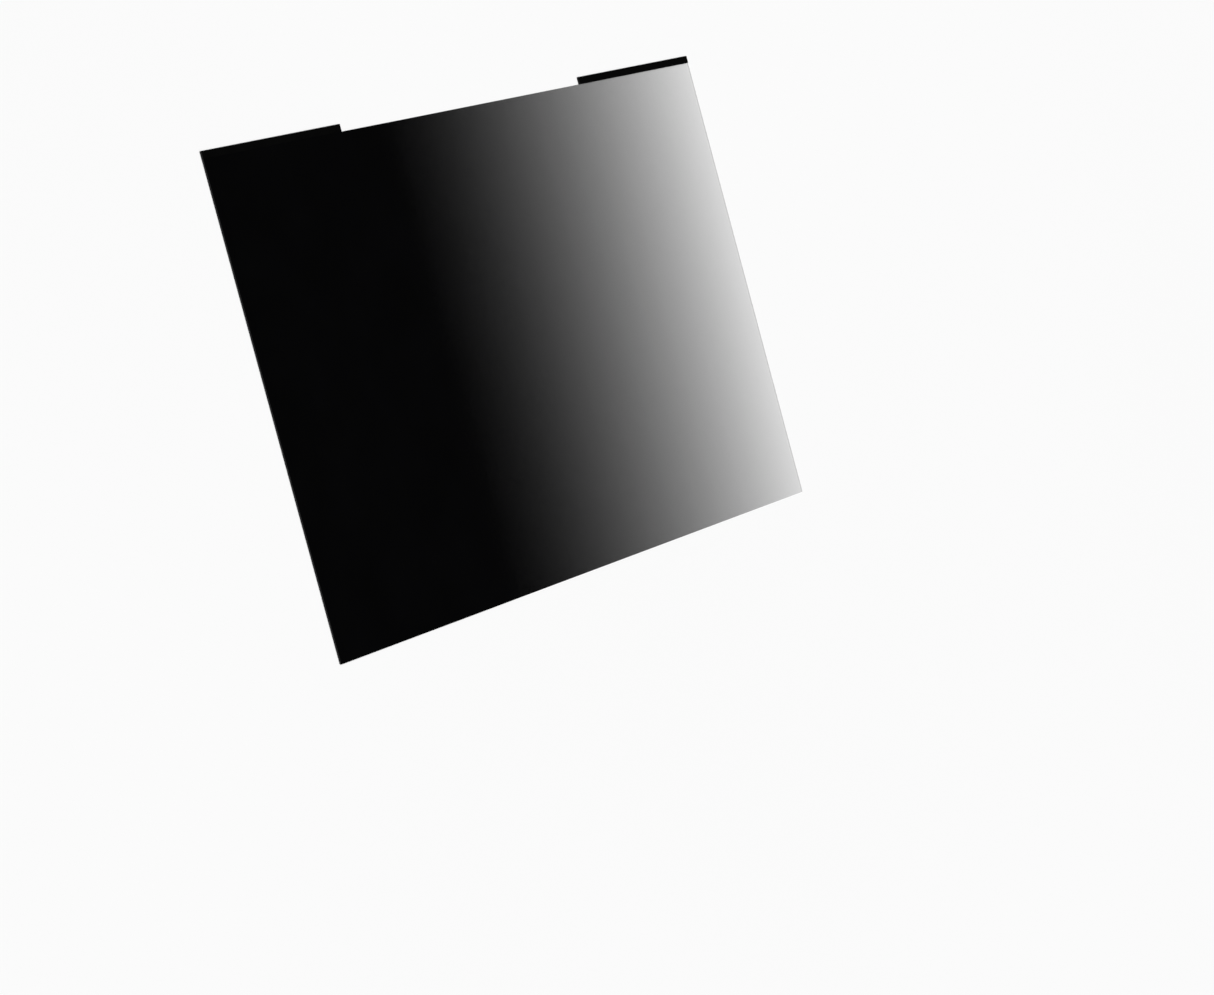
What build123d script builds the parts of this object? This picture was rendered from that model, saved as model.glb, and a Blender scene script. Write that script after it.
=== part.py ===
from build123d import *

import os

# Privacy filter: a flat louvred sheet, 15.6 inches from corner to corner at 16:9, with a black
# self-adhesive tab at each upper corner. It lies face up, with the tabs towards +Y. The origin is
# under the middle of its outline, on the surface that it lies on. All sizes are in millimetres.

# Filter sheet, one stiff laminate, with its height measured below the tabs
sheet_width = 344.0
sheet_height = 194.0
sheet_thickness = 0.53
corner_radius = 0.5

# Tabs, each an ear of the sheet wrapped in folded black film
tab_length = 87.0
tab_height = 3.1
film_thickness = 0.15

# Adhesive strip on the back of each tab
adhesive_thickness = 0.12
adhesive_margin = 0.35

# Heights of the layers above the surface, from back to front
film_back = adhesive_thickness
sheet_back = film_back + film_thickness
sheet_front = sheet_back + sheet_thickness

# Places along the sheet's height, from its foot to the tabs' upper edge
sheet_foot = -(sheet_height + tab_height) / 2
sheet_head = sheet_foot + sheet_height
tab_head = sheet_head + tab_height
ear_head = tab_head - film_thickness

# Places along the width, on the right-hand side
sheet_side = sheet_width / 2
tab_inner_end = sheet_side - tab_length


# Filter sheet: half of the die-cut outline is drawn with its ear, then mirrored
with BuildPart() as filter_sheet:
    with BuildSketch(Plane.XY.offset(sheet_back)) as sheet_outline:
        with BuildLine():
            Polyline(
                (0, sheet_foot),
                (sheet_side, sheet_foot),
                (sheet_side, ear_head),
                (tab_inner_end, ear_head),
                (tab_inner_end, sheet_head),
                (0, sheet_head),
            )
            mirror(about=Plane.YZ)
        make_face()
        foot_corners = sheet_outline.vertices().group_by(Axis.Y)[0].sort_by(Axis.X)
        fillet([foot_corners[0], foot_corners[-1]], corner_radius)
    extrude(amount=sheet_thickness)

# Right tab: black film folded over the ear, so that its section follows the ear's three free edges
with BuildPart() as right_tab:
    with BuildSketch(Plane.YZ.offset(tab_inner_end)):
        with BuildLine():
            Polyline(
                (sheet_head, sheet_front),
                (ear_head, sheet_front),
                (ear_head, sheet_back),
                (sheet_head, sheet_back),
            )
            offset(amount=film_thickness, side=Side.LEFT)
        make_face()
    extrude(amount=tab_length)

# Right adhesive strip: set in from the edges of the tab's back
with BuildPart() as right_adhesive_strip:
    with BuildSketch(Plane.XY):
        with Locations((tab_inner_end + tab_length / 2, sheet_head + tab_height / 2)):
            Rectangle(tab_length - 2 * adhesive_margin, tab_height - 2 * adhesive_margin)
    extrude(amount=adhesive_thickness)

# Left tab and its strip: the right ones mirrored across the sheet's middle
with BuildPart() as left_tab:
    mirror(right_tab.part, about=Plane.YZ)

with BuildPart() as left_adhesive_strip:
    mirror(right_adhesive_strip.part, about=Plane.YZ)


pieces = {
    "filter_sheet": filter_sheet,
    "left_tab": left_tab,
    "right_tab": right_tab,
    "left_adhesive_strip": left_adhesive_strip,
    "right_adhesive_strip": right_adhesive_strip,
}
os.makedirs("parts", exist_ok=True)
for node, piece in pieces.items():
    piece.part.label = node
    export_step(piece.part, f"parts/{node}.step")
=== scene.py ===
"""Privacy filter: a louvred sheet that fades from black to clear, with two black tabs.

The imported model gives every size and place. Each piece is modelled over its own node, in metres, and gets a
procedural finish. The filter lies face up on a pale floor, and the camera looks down on it from beyond its
dark end.
"""

import logging
import math
from collections.abc import Callable
from dataclasses import dataclass, field
from enum import Enum

import bmesh
import bpy
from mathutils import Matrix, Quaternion, Vector

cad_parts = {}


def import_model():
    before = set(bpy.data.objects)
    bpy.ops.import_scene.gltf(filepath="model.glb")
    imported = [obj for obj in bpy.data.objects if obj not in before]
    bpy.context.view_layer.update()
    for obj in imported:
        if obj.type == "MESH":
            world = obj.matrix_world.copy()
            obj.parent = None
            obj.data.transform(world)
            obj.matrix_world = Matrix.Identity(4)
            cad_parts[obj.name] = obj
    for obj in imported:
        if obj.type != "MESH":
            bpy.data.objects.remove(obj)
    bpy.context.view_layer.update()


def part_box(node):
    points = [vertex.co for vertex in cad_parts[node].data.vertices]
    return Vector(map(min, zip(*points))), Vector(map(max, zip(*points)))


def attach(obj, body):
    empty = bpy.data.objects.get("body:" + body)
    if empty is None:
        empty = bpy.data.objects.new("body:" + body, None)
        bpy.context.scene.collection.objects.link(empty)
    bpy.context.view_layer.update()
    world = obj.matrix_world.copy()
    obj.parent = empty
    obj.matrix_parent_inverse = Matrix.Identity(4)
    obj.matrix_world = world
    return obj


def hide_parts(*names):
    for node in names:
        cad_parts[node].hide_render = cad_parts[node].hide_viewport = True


LOG = logging.getLogger("privacy_filter")
SHEET_NODE = "filter_sheet"
MM = 0.001
SAME_PLACE = 0.002 * MM  # points nearer than this count as one
QUARTER_TURN = math.pi / 2
NOISE_SPREAD = (0.3, 0.7)  # nearly all of a noise's values lie between these
CLOUD_DETAIL = 3.0  # layers of noise in a soft cloud
GRAIN_DETAIL = 2.0  # layers of noise in a fine grain
WAVE_TURN = 20.0  # radians that a wave pattern of scale 1 turns through in a metre
ROLL_STEPS = 2  # faces across a rolled edge

Pieces = dict[str, bpy.types.Object]  # finished pieces, each by the node that it stands for
EdgeTest = Callable[[bmesh.types.BMEdge], bool]
FaceTest = Callable[[bmesh.types.BMFace], bool]


class Side(Enum):
    """Which upper corner of the sheet a tab belongs to, as seen from the front."""

    LEFT = "left"
    RIGHT = "right"

    @property
    def tab_node(self) -> str:
        """The node of this side's folded film."""
        return f"{self.value}_tab"

    @property
    def tape_node(self) -> str:
        """The node of this side's adhesive strip."""
        return f"{self.value}_adhesive_strip"


class Element(Enum):
    """What an edit selects, as Blender names its selection modes."""

    EDGES = "EDGE"
    FACES = "FACE"


def linear(hex_colour: str) -> tuple[float, float, float, float]:
    """Turns an sRGB hex colour into linear light, by the sRGB standard's own curve.

    Args:
        hex_colour: A colour such as "#0a0a0b".

    Returns:
        Red, green, blue and an alpha of 1, each from 0 to 1.
    """
    shares = [int(hex_colour[at : at + 2], 16) / 255 for at in (1, 3, 5)]
    red, green, blue = [s / 12.92 if s <= 0.04045 else ((s + 0.055) / 1.055) ** 2.4 for s in shares]
    return red, green, blue, 1.0


def add_node(
    tree: bpy.types.NodeTree, kind: str, inputs: dict[str | int, object] | None = None, **settings: object
) -> bpy.types.Node:
    """Adds a node with its settings and links.

    Args:
        tree: The node tree that gets the node.
        kind: The node's type name in Blender.
        inputs: Input name or number to a plain value, or to the output socket that feeds it.
        **settings: Properties of the node itself.

    Returns:
        The new node.
    """
    node = tree.nodes.new(kind)
    for name, value in settings.items():
        setattr(node, name, value)
    for name, value in (inputs or {}).items():
        if isinstance(value, bpy.types.NodeSocket):
            tree.links.new(value, node.inputs[name])
        else:
            node.inputs[name].default_value = value
    return node


def new_material(name: str) -> bpy.types.Material:
    """Makes an empty node material.

    Args:
        name: The material's name.

    Returns:
        The material, with no nodes yet.
    """
    material = bpy.data.materials.new(name)
    material.use_nodes = True
    material.node_tree.nodes.clear()
    return material


@dataclass(frozen=True)
class UnevenSkin:
    """How a plastic's surface varies: clouds in its colour and gloss, and a fine grain in its height.

    Attributes:
        colours: The two colours that it clouds between.
        roughness: Its least and its most roughness.
        cloud_mm: The size of a cloud.
        grain_mm: The size of a grain.
        grain_height_mm: How high a grain stands.
    """

    colours: tuple[str, str]
    roughness: tuple[float, float]
    cloud_mm: float
    grain_mm: float
    grain_height_mm: float

    def add_to(self, tree: bpy.types.NodeTree, optics: dict[str, float]) -> bpy.types.NodeSocket:
        """Adds the nodes of the skin to a material.

        Args:
            tree: The material's nodes.
            optics: Inputs of the shader that are the same all over the skin.

        Returns:
            The skin's shader.
        """
        place = add_node(tree, "ShaderNodeTexCoord").outputs["Object"]
        cloud = add_node(
            tree,
            "ShaderNodeTexNoise",
            {"Vector": place, "Scale": 1 / (self.cloud_mm * MM), "Detail": CLOUD_DETAIL},
        ).outputs["Fac"]
        first, second = self.colours
        colour = add_node(
            tree,
            "ShaderNodeMix",
            {"Factor": cloud, "A": linear(first), "B": linear(second)},
            data_type="RGBA",
        ).outputs["Result"]
        least, most = NOISE_SPREAD
        smooth, rough = self.roughness
        roughness = add_node(
            tree,
            "ShaderNodeMapRange",
            {"Value": cloud, "From Min": least, "From Max": most, "To Min": smooth, "To Max": rough},
        ).outputs["Result"]
        grain = add_node(
            tree,
            "ShaderNodeTexNoise",
            {"Vector": place, "Scale": 1 / (self.grain_mm * MM), "Detail": GRAIN_DETAIL},
        ).outputs["Fac"]
        normal = add_node(
            tree, "ShaderNodeBump", {"Height": grain, "Distance": self.grain_height_mm * MM}
        ).outputs["Normal"]
        return add_node(
            tree,
            "ShaderNodeBsdfPrincipled",
            {"Base Color": colour, "Roughness": roughness, "Normal": normal, **optics},
        ).outputs[0]


@dataclass(frozen=True)
class LouvreLaminate:
    """Finish of the sheet: micro-louvre laminate, hard coated on both faces.

    The louvres close off the left end and open towards the right, so the eye gets a deep neutral black that
    thins to smoke grey. The anti-glare hard coat gives one soft, dim sheen from end to end.

    Attributes:
        dark_end: Where the sheet's dark end is along X, in metres.
        clear_end: Where its clear end is.
        head: Where its upper edge is along Y. Its ears, beyond that, are shut.
    """

    dark_end: float
    clear_end: float
    head: float
    name: str = "micro_louvre_laminate"
    shut_share: float = 0.28  # share of the width up to which the louvres are shut
    lit_share: float = 0.36  # share of the width from which lamps shine through in full
    fade_power: float = 2.7  # the light let through grows as this power of the way to the clear end
    clear_transmission: float = 0.74  # share of light that the sheet lets through at its clear end
    louvre_mm: float = 2.0  # the real louvres are near 0.1 mm apart, too fine to show
    louvre_depth: float = 0.03  # share of light that each louvre takes away
    ear_margin_mm: float = 0.1  # keeps the upper edge, which fades as the sheet does, out of the ears
    coat_ior: float = 1.12  # an anti-glare layer, which reflects far less than bare plastic
    # Where its roughness passes 0.27, a denoised render shows a false line across the fade
    coat: UnevenSkin = UnevenSkin(
        colours=("#020202", "#050506"),
        roughness=(0.24, 0.27),
        cloud_mm=30.0,
        grain_mm=7.0,
        grain_height_mm=0.0006,
    )

    def at_share(self, share: float) -> float:
        """Where a share of the width, counted from the dark end, is along X."""
        return self.dark_end + share * (self.clear_end - self.dark_end)

    def clearness(self, tree: bpy.types.NodeTree, clearest: float) -> bpy.types.NodeSocket:
        """Adds the nodes that say how much light one face lets through at each place.

        Args:
            tree: The material's nodes.
            clearest: What the face lets through at the clear end.

        Returns:
            The socket with the share of light, from 0 to 1.
        """
        place = add_node(tree, "ShaderNodeTexCoord").outputs["Object"]
        along = add_node(tree, "ShaderNodeSeparateXYZ", {"Vector": place})
        opened = add_node(
            tree,
            "ShaderNodeMapRange",
            {
                "Value": along.outputs["X"],
                "From Min": self.at_share(self.shut_share),
                "From Max": self.clear_end,
            },
        ).outputs["Result"]
        # A ray passes two faces, so each has half of the fade's power
        fade = add_node(
            tree, "ShaderNodeMath", {0: opened, 1: self.fade_power / 2}, operation="POWER"
        ).outputs[0]
        louvres = add_node(
            tree,
            "ShaderNodeTexWave",
            {"Vector": place, "Scale": math.tau / (WAVE_TURN * self.louvre_mm * MM)},
            bands_direction="X",
        ).outputs["Fac"]
        between_louvres = add_node(
            tree,
            "ShaderNodeMapRange",
            {"Value": louvres, "To Min": clearest * (1 - self.louvre_depth), "To Max": clearest},
        ).outputs["Result"]
        clear = add_node(
            tree, "ShaderNodeMath", {0: fade, 1: between_louvres}, operation="MULTIPLY"
        ).outputs[0]
        below_ears = add_node(
            tree,
            "ShaderNodeMath",
            {0: along.outputs["Y"], 1: self.head + self.ear_margin_mm * MM},
            operation="LESS_THAN",
        ).outputs[0]
        return add_node(
            tree, "ShaderNodeMath", {0: clear, 1: below_ears}, operation="MULTIPLY"
        ).outputs[0]

    def lamp_light(self, tree: bpy.types.NodeTree) -> bpy.types.NodeSocket:
        """Adds the nodes of what lamps see: all their light runs along the louvres where these are open.

        Args:
            tree: The material's nodes.

        Returns:
            The shader for rays to a lamp.
        """
        place = add_node(tree, "ShaderNodeTexCoord").outputs["Object"]
        along = add_node(tree, "ShaderNodeSeparateXYZ", {"Vector": place}).outputs["X"]
        lit = add_node(
            tree,
            "ShaderNodeMapRange",
            {
                "Value": along,
                "From Min": self.at_share(self.shut_share),
                "From Max": self.at_share(self.lit_share),
            },
        ).outputs["Result"]
        return add_node(tree, "ShaderNodeBsdfTransparent", {"Color": lit}).outputs[0]

    def open_louvres(
        self, tree: bpy.types.NodeTree, surface: bpy.types.NodeSocket, clearest: float
    ) -> None:
        """Adds the view through the louvres to a surface, and ends the material with both.

        Args:
            tree: The material's nodes.
            surface: The shader of what the face itself shows.
            clearest: What the face lets through at the clear end.
        """
        clear = self.clearness(tree, clearest)
        view_through = add_node(tree, "ShaderNodeBsdfTransparent", {"Color": clear}).outputs[0]
        seen = add_node(tree, "ShaderNodeAddShader", {0: surface, 1: view_through}).outputs[0]
        lamp_ray = add_node(tree, "ShaderNodeLightPath").outputs["Is Shadow Ray"]
        finished = add_node(
            tree, "ShaderNodeMixShader", {0: lamp_ray, 1: seen, 2: self.lamp_light(tree)}
        ).outputs[0]
        add_node(tree, "ShaderNodeOutputMaterial", {"Surface": finished})

    def make(self) -> bpy.types.Material:
        """Makes the material of the sheet's front and back.

        Returns:
            The material.
        """
        material = new_material(self.name)
        tree = material.node_tree
        sheen = self.coat.add_to(tree, {"IOR": self.coat_ior})
        # A ray passes two faces, so each lets through the square root of what the sheet does
        self.open_louvres(tree, sheen, math.sqrt(self.clear_transmission))
        return material


@dataclass(frozen=True)
class ShearedEdge:
    """Finish of the sheet's cut edges: the laminate's layers, sheared by a die.

    The eye gets a dull dark line, finely streaked across, with the cover films a shade paler than the core.

    Attributes:
        laminate: The sheet's own finish.
        middle: The height of the laminate's middle, in metres.
        half: Half of its thickness.
    """

    laminate: LouvreLaminate
    middle: float
    half: float
    name: str = "sheared_laminate_edge"
    core_colour: str = "#060606"
    cover_colour: str = "#1a1b1d"
    core_share: float = 0.6  # share of the thickness that the core takes up
    clearest: float = 0.72  # share of light that the cut lets through at the clear end
    edge_ior: float = 1.35
    roughness: float = 0.6
    streak_mm: float = 0.3  # the die's real streaks are near 0.05 mm, too fine to show
    streak_stretch: float = 10.0  # how many times as long as wide a streak is
    streak_height_mm: float = 0.01

    def make(self) -> bpy.types.Material:
        """Makes the material of the sheet's cut edges.

        Returns:
            The material.
        """
        material = new_material(self.name)
        tree = material.node_tree
        place = add_node(tree, "ShaderNodeTexCoord").outputs["Object"]

        # The core lies in the middle of the thickness, between the two cover films
        height = add_node(tree, "ShaderNodeSeparateXYZ", {"Vector": place}).outputs["Z"]
        offset = add_node(
            tree, "ShaderNodeMath", {0: height, 1: self.middle}, operation="SUBTRACT"
        ).outputs[0]
        depth = add_node(tree, "ShaderNodeMath", {0: offset}, operation="ABSOLUTE").outputs[0]
        in_cover = add_node(
            tree, "ShaderNodeMath", {0: depth, 1: self.half * self.core_share}, operation="GREATER_THAN"
        ).outputs[0]
        colour = add_node(
            tree,
            "ShaderNodeMix",
            {"Factor": in_cover, "A": linear(self.core_colour), "B": linear(self.cover_colour)},
            data_type="RGBA",
        ).outputs["Result"]

        # The streaks run through the thickness, so the noise is drawn out that way
        across = add_node(
            tree, "ShaderNodeMapping", {"Vector": place, "Scale": (1.0, 1.0, 1 / self.streak_stretch)}
        ).outputs["Vector"]
        streaks = add_node(
            tree,
            "ShaderNodeTexNoise",
            {"Vector": across, "Scale": 1 / (self.streak_mm * MM), "Detail": GRAIN_DETAIL},
        ).outputs["Fac"]
        normal = add_node(
            tree, "ShaderNodeBump", {"Height": streaks, "Distance": self.streak_height_mm * MM}
        ).outputs["Normal"]
        cut = add_node(
            tree,
            "ShaderNodeBsdfPrincipled",
            {"Base Color": colour, "Roughness": self.roughness, "IOR": self.edge_ior, "Normal": normal},
        ).outputs[0]
        self.laminate.open_louvres(tree, cut, self.clearest)
        return material


@dataclass(frozen=True)
class MatteBlackFilm:
    """Finish of the tabs: polyester film, dyed black and matted on its outer face.

    The eye gets a flat black with a dry, slightly broken sheen.
    """

    name: str = "matte_black_polyester_film"
    film_ior: float = 1.6
    film_gloss: float = 0.021  # bare film has 0.5, and the matting takes away nearly all of it
    # The real matting has grains of near 0.02 mm, too fine to show
    matting: UnevenSkin = UnevenSkin(
        colours=("#020202", "#060606"),
        roughness=(0.42, 0.52),
        cloud_mm=9.0,
        grain_mm=0.5,
        grain_height_mm=0.004,
    )

    def make(self) -> bpy.types.Material:
        """Makes the material of the tabs.

        Returns:
            The material.
        """
        material = new_material(self.name)
        tree = material.node_tree
        film = self.matting.add_to(tree, {"IOR": self.film_ior, "Specular IOR Level": self.film_gloss})
        add_node(tree, "ShaderNodeOutputMaterial", {"Surface": film})
        return material


@dataclass(frozen=True)
class AcrylicTape:
    """Finish of the adhesive strips: double-sided acrylic tape, coated on a thin tissue.

    The eye gets a milky, faintly yellow layer, mottled by the tissue and by small trapped bubbles.
    """

    name: str = "milky_acrylic_tape"
    milk_colour: str = "#d8d4c4"
    tissue_colour: str = "#c2bda8"
    tape_ior: float = 1.47
    tape_roughness: tuple[float, float] = (0.35, 0.55)
    bubble_mm: float = 0.7
    bubble_height_mm: float = 0.01

    def make(self) -> bpy.types.Material:
        """Makes the material of the adhesive strips.

        Returns:
            The material.
        """
        material = new_material(self.name)
        tree = material.node_tree
        place = add_node(tree, "ShaderNodeTexCoord").outputs["Object"]
        bubbles = add_node(
            tree,
            "ShaderNodeTexVoronoi",
            {"Vector": place, "Scale": 1 / (self.bubble_mm * MM)},
            feature="SMOOTH_F1",
        ).outputs["Distance"]
        colour = add_node(
            tree,
            "ShaderNodeMix",
            {"Factor": bubbles, "A": linear(self.milk_colour), "B": linear(self.tissue_colour)},
            data_type="RGBA",
        ).outputs["Result"]
        smooth, rough = self.tape_roughness
        roughness = add_node(
            tree, "ShaderNodeMapRange", {"Value": bubbles, "To Min": smooth, "To Max": rough}
        ).outputs["Result"]
        normal = add_node(
            tree, "ShaderNodeBump", {"Height": bubbles, "Distance": self.bubble_height_mm * MM}
        ).outputs["Normal"]
        tape = add_node(
            tree,
            "ShaderNodeBsdfPrincipled",
            {"Base Color": colour, "Roughness": roughness, "IOR": self.tape_ior, "Normal": normal},
        ).outputs[0]
        add_node(tree, "ShaderNodeOutputMaterial", {"Surface": tape})
        return material


@dataclass(frozen=True)
class PaperSweep:
    """Finish of the floor: matt white background paper, with a barely visible cloudiness."""

    name: str = "matt_white_paper"
    bright_colour: str = "#fdfdfd"
    soft_colour: str = "#fbfbfb"
    cloud_mm: float = 400.0

    def make(self) -> bpy.types.Material:
        """Makes the material of the floor.

        Returns:
            The material.
        """
        material = new_material(self.name)
        tree = material.node_tree
        place = add_node(tree, "ShaderNodeTexCoord").outputs["Object"]
        cloud = add_node(
            tree, "ShaderNodeTexNoise", {"Vector": place, "Scale": 1 / (self.cloud_mm * MM)}
        ).outputs["Fac"]
        colour = add_node(
            tree,
            "ShaderNodeMix",
            {"Factor": cloud, "A": linear(self.bright_colour), "B": linear(self.soft_colour)},
            data_type="RGBA",
        ).outputs["Result"]
        paper = add_node(tree, "ShaderNodeBsdfDiffuse", {"Color": colour}).outputs[0]
        add_node(tree, "ShaderNodeOutputMaterial", {"Surface": paper})
        return material


def add_block(name: str, low: Vector, high: Vector) -> bpy.types.Object:
    """Adds a cube primitive that fills a box, as the start of a piece.

    Args:
        name: The piece's name.
        low: The box's lowest corner.
        high: Its highest corner.

    Returns:
        The block, active, with its place in its mesh.
    """
    bpy.ops.object.select_all(action="DESELECT")
    bpy.ops.mesh.primitive_cube_add(size=1.0, location=(low + high) / 2, scale=high - low)
    block = bpy.context.active_object
    block.name = name
    block.data.name = name
    bpy.ops.object.transform_apply(location=True, rotation=True, scale=True)
    return block


def select_where(piece: bpy.types.Object, element: Element, test: EdgeTest | FaceTest) -> None:
    """Selects, in edit mode, only the edges or faces that pass a test.

    Args:
        piece: The object in edit mode.
        element: Whether to go through its edges or its faces.
        test: Gets one of them and says whether to select it.
    """
    bpy.ops.mesh.select_mode(type=element.value)
    bpy.ops.mesh.select_all(action="DESELECT")
    mesh = bmesh.from_edit_mesh(piece.data)
    for one in mesh.edges if element is Element.EDGES else mesh.faces:
        if test(one):
            one.select_set(True)
    mesh.select_flush_mode()
    bmesh.update_edit_mesh(piece.data)


def roll_edges(piece: bpy.types.Object, width: float, sharp_turn: float) -> None:
    """Rounds a piece's sharp edges by a hair, as a cutting die leaves them, and shades it smooth.

    Args:
        piece: The finished shape.
        width: How far the rounding reaches from each edge, in metres.
        sharp_turn: Edges that turn by more than this are rounded, in radians.
    """
    bevel = piece.modifiers.new("edge_roll", "BEVEL")
    bevel.width = width
    bevel.segments = ROLL_STEPS
    bevel.limit_method = "ANGLE"
    bevel.angle_limit = sharp_turn
    bevel.harden_normals = True
    bpy.ops.object.select_all(action="DESELECT")
    piece.select_set(True)
    bpy.context.view_layer.objects.active = piece
    bpy.ops.object.shade_smooth_by_angle(angle=sharp_turn)
    bpy.ops.object.modifier_apply(modifier=bevel.name)


def settle(piece: bpy.types.Object, node: str, slot: str, *materials: bpy.types.Material) -> None:
    """Dresses a finished piece and puts it in its node's place.

    Args:
        piece: The finished piece.
        node: The node that it stands for.
        slot: The name of a material slot; not used.
        *materials: Its materials, of which the first goes on every face.
    """
    for material in materials:
        piece.data.materials.append(material)
    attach(piece, "root")
    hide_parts(node)


@dataclass
class FilterSheet:
    """The louvred sheet, cut in one piece with an ear at each upper corner."""

    slot: str = "filter_laminate"
    corner_radius: float = 0.5 * MM
    corner_steps: int = 5
    edge_roll: float = 0.05 * MM
    sharp_turn: float = math.radians(40)
    cut_lean: float = math.radians(60)  # a face that leans further than this is a cut edge

    def build(self) -> Pieces:
        """Cuts the sheet to its outline, ears included, and rounds its edges.

        Returns:
            The one piece, by its node.
        """
        low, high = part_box(SHEET_NODE)
        left_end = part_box(Side.LEFT.tab_node)[1].x
        right_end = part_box(Side.RIGHT.tab_node)[0].x
        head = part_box(Side.LEFT.tab_node)[0].y
        sheet = add_block("louvre_sheet", low, Vector((high.x, head, high.z)))
        bpy.ops.object.mode_set(mode="EDIT")
        for end in (left_end, right_end):
            bpy.ops.mesh.select_all(action="SELECT")
            bpy.ops.mesh.bisect(plane_co=(end, 0, 0), plane_no=(1, 0, 0))

        def bears_ear(face: bmesh.types.BMFace) -> bool:
            """Says whether a face of the upper edge lies outside the gap between the tabs."""
            in_gap = left_end < face.calc_center_median().x < right_end
            return face.normal.y > math.cos(self.sharp_turn) and not in_gap

        select_where(sheet, Element.FACES, bears_ear)
        bpy.ops.mesh.extrude_region_move(TRANSFORM_OT_translate={"value": (0, high.y - head, 0)})

        def foot_corner(edge: bmesh.types.BMEdge) -> bool:
            """Says whether an edge runs through the thickness at a lower corner, by its middle."""
            middle = (edge.verts[0].co + edge.verts[1].co) / 2
            return abs(middle.y - low.y) < SAME_PLACE and abs(abs(middle.x) - high.x) < SAME_PLACE

        select_where(sheet, Element.EDGES, foot_corner)
        bpy.ops.mesh.bevel(offset=self.corner_radius, segments=self.corner_steps, affect="EDGES")
        bpy.ops.object.mode_set(mode="OBJECT")
        roll_edges(sheet, self.edge_roll, self.sharp_turn)
        return {SHEET_NODE: sheet}

    def dress(self, pieces: Pieces) -> None:
        """Gives the sheet its fading laminate and its cut edges, and puts it in its node's place.

        Args:
            pieces: The one piece, from build.
        """
        sheet = pieces[SHEET_NODE]
        low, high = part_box(SHEET_NODE)
        laminate = LouvreLaminate(low.x, high.x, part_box(Side.LEFT.tab_node)[0].y)
        edge = ShearedEdge(laminate, (low.z + high.z) / 2, (high.z - low.z) / 2)
        settle(sheet, SHEET_NODE, self.slot, laminate.make(), edge.make())
        for face in sheet.data.polygons:
            face.material_index = int(abs(face.normal.z) < math.cos(self.cut_lean))


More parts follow.
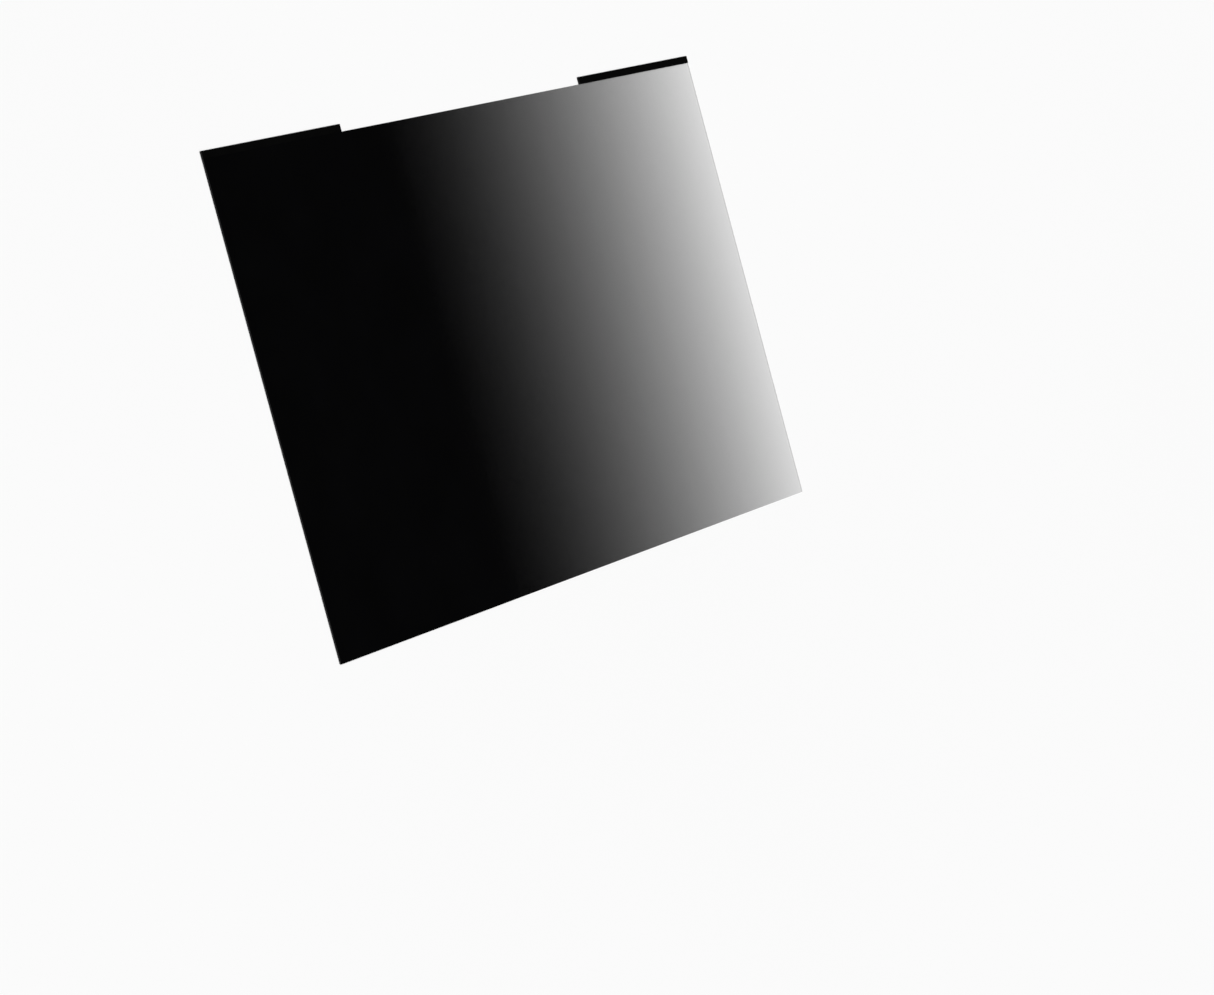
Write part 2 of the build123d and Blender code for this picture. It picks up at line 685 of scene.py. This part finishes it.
@dataclass
class TabPair:
    """The tabs at the upper corners: black film folded over the sheet's ears, with tape on their backs."""

    film_slot: str = "tab_film"
    tape_slot: str = "adhesive"
    fold_steps: int = 5
    film_edge_roll: float = 0.02 * MM
    tape_corner: float = 0.2 * MM
    tape_corner_steps: int = 3
    tape_edge_roll: float = 0.03 * MM
    sharp_turn: float = math.radians(50)
    film_finish: MatteBlackFilm = field(default_factory=MatteBlackFilm)
    tape_finish: AcrylicTape = field(default_factory=AcrylicTape)

    def build_film(self) -> bpy.types.Object:
        """Folds the left tab's film round the ear in section, and draws it out along the tab.

        Returns:
            The film.
        """
        low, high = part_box(Side.LEFT.tab_node)
        ear_low, ear_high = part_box(SHEET_NODE)

        # The front leg's section starts as a small plane that stands across the tab
        front_low = Vector((low.x, low.y, ear_high.z))
        front_high = Vector((low.x, ear_high.y, high.z))
        bpy.ops.object.select_all(action="DESELECT")
        bpy.ops.mesh.primitive_plane_add(
            size=1.0, location=(front_low + front_high) / 2, rotation=(0, QUARTER_TURN, 0)
        )
        film = bpy.context.active_object
        film.name = "left_tab_film"
        film.data.name = film.name
        film.scale = (front_high.z - front_low.z, front_high.y - front_low.y, 1.0)
        bpy.ops.object.transform_apply(location=True, rotation=True, scale=True)
        bpy.ops.object.mode_set(mode="EDIT")

        def at_ear_head(edge: bmesh.types.BMEdge) -> bool:
            """Says whether an edge is the end of the front leg, level with the ear's upper edge."""
            return all(abs(vertex.co.y - ear_high.y) < SAME_PLACE for vertex in edge.verts)

        # From there it turns over the ear's front edge, runs down behind its cut face and turns back
        select_where(film, Element.EDGES, at_ear_head)
        front_edge = (low.x, ear_high.y, ear_high.z)
        bpy.ops.mesh.spin(steps=self.fold_steps, angle=QUARTER_TURN, center=front_edge, axis=(1, 0, 0))
        bpy.ops.mesh.extrude_region_move(TRANSFORM_OT_translate={"value": (0, 0, ear_low.z - ear_high.z)})
        back_edge = (low.x, ear_high.y, ear_low.z)
        bpy.ops.mesh.spin(steps=self.fold_steps, angle=QUARTER_TURN, center=back_edge, axis=(1, 0, 0))
        bpy.ops.mesh.extrude_region_move(TRANSFORM_OT_translate={"value": (0, low.y - ear_high.y, 0)})

        # The section is welded, drawn out to the tab's length and turned right side out
        bpy.ops.mesh.select_all(action="SELECT")
        bpy.ops.mesh.remove_doubles(threshold=SAME_PLACE)
        bpy.ops.mesh.extrude_region_move(TRANSFORM_OT_translate={"value": (high.x - low.x, 0, 0)})
        bpy.ops.mesh.select_all(action="SELECT")
        bpy.ops.mesh.normals_make_consistent(inside=False)
        bpy.ops.object.mode_set(mode="OBJECT")
        roll_edges(film, self.film_edge_roll, self.sharp_turn)
        return film

    def build_tape(self) -> bpy.types.Object:
        """Cuts the left adhesive strip, with slightly rounded corners.

        Returns:
            The strip.
        """
        low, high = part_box(Side.LEFT.tape_node)
        tape = add_block("left_tape", low, high)
        bpy.ops.object.mode_set(mode="EDIT")

        def upright(edge: bmesh.types.BMEdge) -> bool:
            """Says whether an edge runs through the tape's thickness."""
            one, other = (vertex.co for vertex in edge.verts)
            return abs(one.z - other.z) > (high.z - low.z) / 2

        select_where(tape, Element.EDGES, upright)
        bpy.ops.mesh.bevel(offset=self.tape_corner, segments=self.tape_corner_steps, affect="EDGES")
        bpy.ops.object.mode_set(mode="OBJECT")
        roll_edges(tape, self.tape_edge_roll, self.sharp_turn)
        return tape

    def copy_across(self, piece: bpy.types.Object, name: str) -> bpy.types.Object:
        """Copies a left piece, with its own mesh, to the right-hand tab.

        Args:
            piece: The finished left piece.
            name: The copy's name.

        Returns:
            The copy, with its place in its mesh.
        """
        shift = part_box(Side.RIGHT.tab_node)[0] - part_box(Side.LEFT.tab_node)[0]
        bpy.ops.object.select_all(action="DESELECT")
        piece.select_set(True)
        bpy.context.view_layer.objects.active = piece
        bpy.ops.object.duplicate(linked=False)
        copy = bpy.context.active_object
        copy.name = name
        copy.data.name = name
        copy.location = shift
        bpy.ops.object.transform_apply(location=True, rotation=False, scale=False)
        return copy

    def build(self) -> Pieces:
        """Builds the left tab's film and tape, and copies both to the right.

        Returns:
            Each side's film and tape, by their nodes.
        """
        film = self.build_film()
        tape = self.build_tape()
        return {
            Side.LEFT.tab_node: film,
            Side.LEFT.tape_node: tape,
            Side.RIGHT.tab_node: self.copy_across(film, "right_tab_film"),
            Side.RIGHT.tape_node: self.copy_across(tape, "right_tape"),
        }

    def dress(self, pieces: Pieces) -> None:
        """Gives the pieces their materials and puts them in their nodes' places.

        Args:
            pieces: Each side's film and tape, from build.
        """
        film_material = self.film_finish.make()
        tape_material = self.tape_finish.make()
        for side in Side:
            settle(pieces[side.tab_node], side.tab_node, self.film_slot, film_material)
            settle(pieces[side.tape_node], side.tape_node, self.tape_slot, tape_material)


@dataclass
class Studio:
    """The pale floor, the soft light and the camera, with lengths in metres and light as shares of white."""

    floor_size: float = 60.0  # so wide that its edge stays out of view
    floor_finish: PaperSweep = field(default_factory=PaperSweep)
    room_colour: str = "#ffffff"
    room_light: float = 0.06
    overhead_light: float = 0.93
    overhead_tilt: float = math.radians(5)  # so steep that the coat shows no glare from the side
    overhead_softness: float = math.radians(50)
    aim: tuple[float, float] = (0.0247, -0.0725)  # the place on the sheet's front at the picture's middle
    distance: float = 1.7326
    azimuth: float = math.radians(176.46)  # counted from +X
    elevation: float = math.radians(34.47)
    roll: float = math.radians(76.91)  # about the line of sight
    lens_mm: float = 125.45
    sensor_mm: float = 36.0

    def lay_floor(self) -> None:
        """Lays the paper under the filter."""
        bpy.ops.object.select_all(action="DESELECT")
        bpy.ops.mesh.primitive_plane_add(size=self.floor_size, location=(0, 0, 0))
        floor = bpy.context.active_object
        floor.name = "floor"
        floor.data.materials.append(self.floor_finish.make())

    def light(self) -> None:
        """Lights the floor to about its own colour, by a dim room and a broad bank of lamps overhead."""
        world = bpy.data.worlds.new("studio_room")
        world.use_nodes = True
        tree = world.node_tree
        tree.nodes.clear()
        room = add_node(
            tree, "ShaderNodeBackground", {"Color": linear(self.room_colour), "Strength": self.room_light}
        ).outputs[0]
        add_node(tree, "ShaderNodeOutputWorld", {"Surface": room})
        bpy.context.scene.world = world

        # A lamp of strength pi straight overhead lights a white floor to white
        bank = bpy.data.lights.new("overhead_bank", "SUN")
        bank.energy = self.overhead_light * math.pi / math.cos(self.overhead_tilt)
        bank.angle = self.overhead_softness
        lamp = bpy.data.objects.new("overhead_bank", bank)
        lamp.rotation_euler = (0, -self.overhead_tilt, 0)
        bpy.context.scene.collection.objects.link(lamp)

    def place_camera(self, height: float) -> None:
        """Places the camera by what it aims at.

        Args:
            height: The height of the sheet's front face, which the aim lies on.
        """
        data = bpy.data.cameras.new("camera")
        data.sensor_width = self.sensor_mm
        data.lens = self.lens_mm
        camera = bpy.data.objects.new("camera", data)
        back = Vector(
            (
                math.cos(self.elevation) * math.cos(self.azimuth),
                math.cos(self.elevation) * math.sin(self.azimuth),
                math.sin(self.elevation),
            )
        )
        camera.location = Vector((*self.aim, height)) + back * self.distance
        camera.rotation_mode = "QUATERNION"
        level = (-back).to_track_quat("-Z", "Y")
        camera.rotation_quaternion = level @ Quaternion((0, 0, 1), self.roll)
        bpy.context.scene.collection.objects.link(camera)
        bpy.context.scene.camera = camera


def main() -> None:
    """Builds the filter and its studio, and reports each piece."""
    logging.basicConfig(level=logging.INFO, format="%(name)s: %(message)s")
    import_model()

    for assembly in (FilterSheet(), TabPair()):
        pieces = assembly.build()
        assembly.dress(pieces)
        for node, piece in pieces.items():
            LOG.info("%s stands for %s, with %d faces", piece.name, node, len(piece.data.polygons))

    studio = Studio()
    studio.lay_floor()
    studio.light()
    studio.place_camera(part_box(SHEET_NODE)[1].z)
    bpy.context.scene.view_settings.view_transform = "Standard"


if __name__ == "__main__":
    main()
